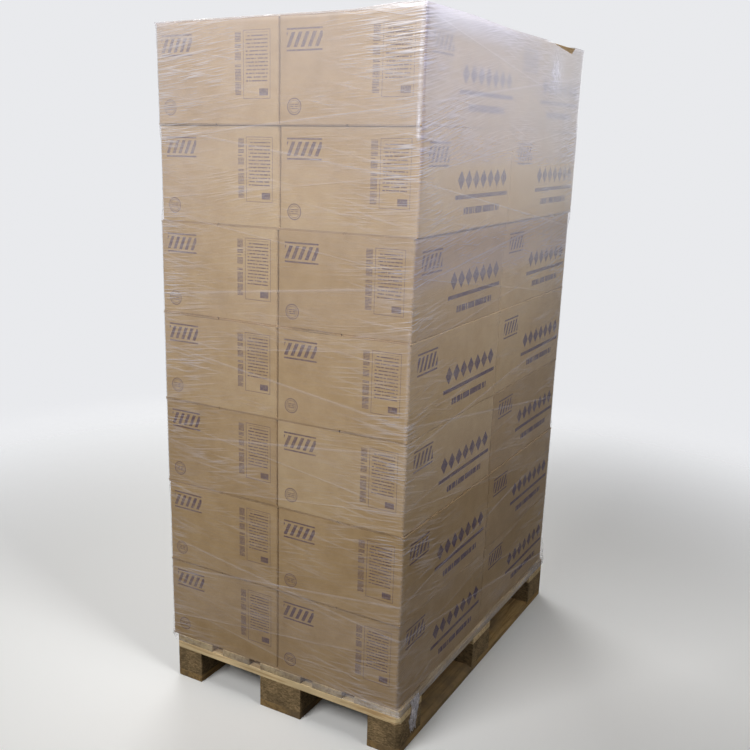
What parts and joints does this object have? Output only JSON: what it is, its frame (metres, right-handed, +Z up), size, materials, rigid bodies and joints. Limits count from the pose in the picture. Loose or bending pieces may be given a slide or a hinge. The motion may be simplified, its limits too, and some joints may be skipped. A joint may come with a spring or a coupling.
{
  "type": "stretch wrapped pallet load",
  "caption": "Tall load of kraft cartons stacked in layers on a wooden block pallet, bound with clear stretch film and open for forks on every side.",
  "frame": {"origin": "on the floor, under the middle of the wrapped load's outline", "axes": "+Z up, +Y along the pallet's 1200 mm side towards its rear end, +X along its 800 mm end"},
  "size_m": [0.8238, 1.207, 1.976],
  "materials": {
    "pallet_boards": "rough sawn softwood, weathered",
    "pallet_blocks": "pressed wood chips, weathered",
    "carton_board": "matt kraft liner",
    "film": "clear polyethylene stretch film, wrinkled"
  },
  "bodies": {
    "root": {"deck_board_1": "pallet_boards", "deck_board_2": "pallet_boards", "deck_board_3": "pallet_boards", "deck_board_4": "pallet_boards", "deck_board_5": "pallet_boards", "cross_board_front": "pallet_boards", "cross_board_middle": "pallet_boards", "cross_board_rear": "pallet_boards", "block_front_left": "pallet_blocks", "block_front_centre": "pallet_blocks", "block_front_right": "pallet_blocks", "block_middle_left": "pallet_blocks", "block_middle_centre": "pallet_blocks", "block_middle_right": "pallet_blocks", "block_rear_left": "pallet_blocks", "block_rear_centre": "pallet_blocks", "block_rear_right": "pallet_blocks", "bottom_board_left": "pallet_boards", "bottom_board_centre": "pallet_boards", "bottom_board_right": "pallet_boards", "carton_1_front_left": "carton_board", "carton_1_front_right": "carton_board", "carton_1_rear_left": "carton_board", "carton_1_rear_right": "carton_board", "carton_2_front_left": "carton_board", "carton_2_front_right": "carton_board", "carton_2_rear_left": "carton_board", "carton_2_rear_right": "carton_board", "carton_3_front_left": "carton_board", "carton_3_front_right": "carton_board", "carton_3_rear_left": "carton_board", "carton_3_rear_right": "carton_board", "carton_4_front_left": "carton_board", "carton_4_front_right": "carton_board", "carton_4_rear_left": "carton_board", "carton_4_rear_right": "carton_board", "carton_5_front_left": "carton_board", "carton_5_front_right": "carton_board", "carton_5_rear_left": "carton_board", "carton_5_rear_right": "carton_board", "carton_6_front_left": "carton_board", "carton_6_front_right": "carton_board", "carton_6_rear_left": "carton_board", "carton_6_rear_right": "carton_board", "carton_7_front_left": "carton_board", "carton_7_front_right": "carton_board", "carton_7_rear_left": "carton_board", "carton_7_rear_right": "carton_board", "stretch_film": "film"}
  },
  "joints": []
}
